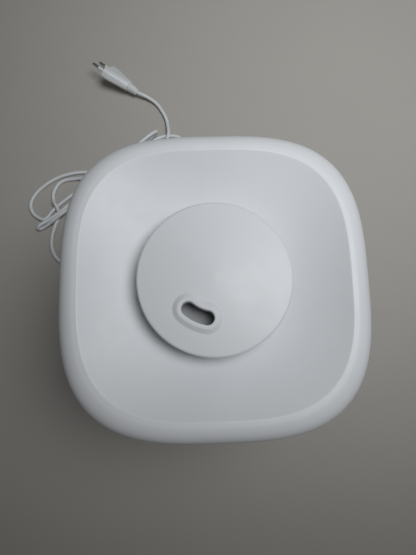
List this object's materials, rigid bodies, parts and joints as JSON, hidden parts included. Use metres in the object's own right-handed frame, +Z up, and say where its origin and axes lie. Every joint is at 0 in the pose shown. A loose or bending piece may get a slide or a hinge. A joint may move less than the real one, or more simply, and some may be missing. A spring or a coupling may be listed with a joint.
{
  "type": "cool mist humidifier",
  "caption": "Top-fill ultrasonic humidifier: squircle base and lift-off tank, dished pour-in lid, turning round cap with an off-centre mist slot, and a folded mains cord.",
  "frame": {"origin": "middle of the surface that the feet stand on, under the centre of the body", "axes": "+Z up, -Y to the front (button side), +Y to the back (mains cord outlet), +X to the right (level window)"},
  "size_m": [0.3345, 0.4465, 0.2725],
  "materials": {
    "shell_white": "fine satin moulded white ABS",
    "inner_white": "plain white moulded polypropylene",
    "inner_grey": "grey moulded polypropylene",
    "smoke_clear": "translucent polycarbonate",
    "light_ring": "milky light-guide plastic",
    "seal_grey": "soft silicone rubber",
    "foot_rubber": "soft dark rubber",
    "black_plastic": "black moulded plastic",
    "board": "green circuit board with parts",
    "metal": "zinc-plated steel",
    "aluminium": "extruded aluminium",
    "ceramic": "metal-faced piezo ceramic",
    "filter_foam": "open-cell dust filter",
    "cord_white": "white flexible PVC",
    "pin_metal": "nickel-plated brass"
  },
  "bodies": {
    "base": {"base_shell": "shell_white", "bottom_plate": "inner_white", "rubber_feet": "foot_rubber", "base_screws": "metal", "base_deck": "inner_white", "water_basin": "inner_white", "air_stack": "inner_white", "intake_filter": "filter_foam", "fan_frame": "black_plastic", "air_duct": "inner_white", "transducer_disc": "ceramic", "transducer_seal": "seal_grey", "transducer_clamp": "metal", "clamp_screws": "metal", "driver_board": "board", "driver_heatsink": "aluminium", "power_board": "board", "control_board": "board", "tact_switch": "black_plastic", "button_light_ring": "light_ring", "float_clip": "inner_white", "strain_relief": "cord_white", "power_cord": "cord_white", "cord_hank": "cord_white", "plug_lead": "cord_white", "plug_body": "cord_white", "plug_relief": "cord_white", "plug_pins": "pin_metal"},
    "fan": {"fan_rotor": "black_plastic"},
    "button": {"power_button": "shell_white"},
    "float": {"level_float": "inner_white"},
    "tank": {"tank_shell": "shell_white", "tank_floor": "inner_white", "level_window": "smoke_clear", "mist_tube": "inner_white", "tube_seal": "seal_grey", "valve_cap": "inner_white", "valve_spring": "metal"},
    "valve": {"valve_plunger": "inner_white", "valve_seal": "seal_grey"},
    "lid": {"lid_dish": "shell_white", "lid_skirt": "shell_white", "lid_gasket": "seal_grey", "pour_ring": "shell_white", "lid_collar": "shell_white"},
    "hub": {"cap_hub": "inner_grey", "splash_baffle": "inner_grey", "hub_seal": "seal_grey"},
    "cap": {"mist_cap": "shell_white", "cap_sleeve": "shell_white"}
  },
  "joints": [
    {"name": "tank_lift", "type": "slide", "parent": "base", "child": "tank", "axis": [0, 0, 1], "range_m": [0, 0.12]},
    {"name": "lid_lift", "type": "slide", "parent": "tank", "child": "lid", "axis": [0, 0, 1], "range_m": [0, 0.06]},
    {"name": "cap_lift", "type": "slide", "parent": "lid", "child": "hub", "axis": [0, 0, 1], "range_m": [0, 0.04]},
    {"name": "cap_turn", "type": "hinge", "parent": "hub", "child": "cap", "pos_m": [0, 0, 0.263], "axis": [0, 0, 1], "continuous": true},
    {"name": "fan_spin", "type": "hinge", "parent": "base", "child": "fan", "pos_m": [-0.048, 0, 0.012], "axis": [0, 0, 1], "continuous": true},
    {"name": "button_press", "type": "slide", "parent": "base", "child": "button", "axis": [0, 0.9958, 0.0917], "range_m": [0, 0.0012], "stiffness_N_per_m": 400, "springref_m": -0.0005},
    {"name": "float_rise", "type": "slide", "parent": "base", "child": "float", "axis": [0, 0, 1], "range_m": [0, 0.005]},
    {"name": "valve_push", "type": "slide", "parent": "tank", "child": "valve", "axis": [0, 0, 1], "range_m": [0, 0.003], "stiffness_N_per_m": 150, "springref_m": -0.003, "deforming": ["valve_spring"]}
  ]
}
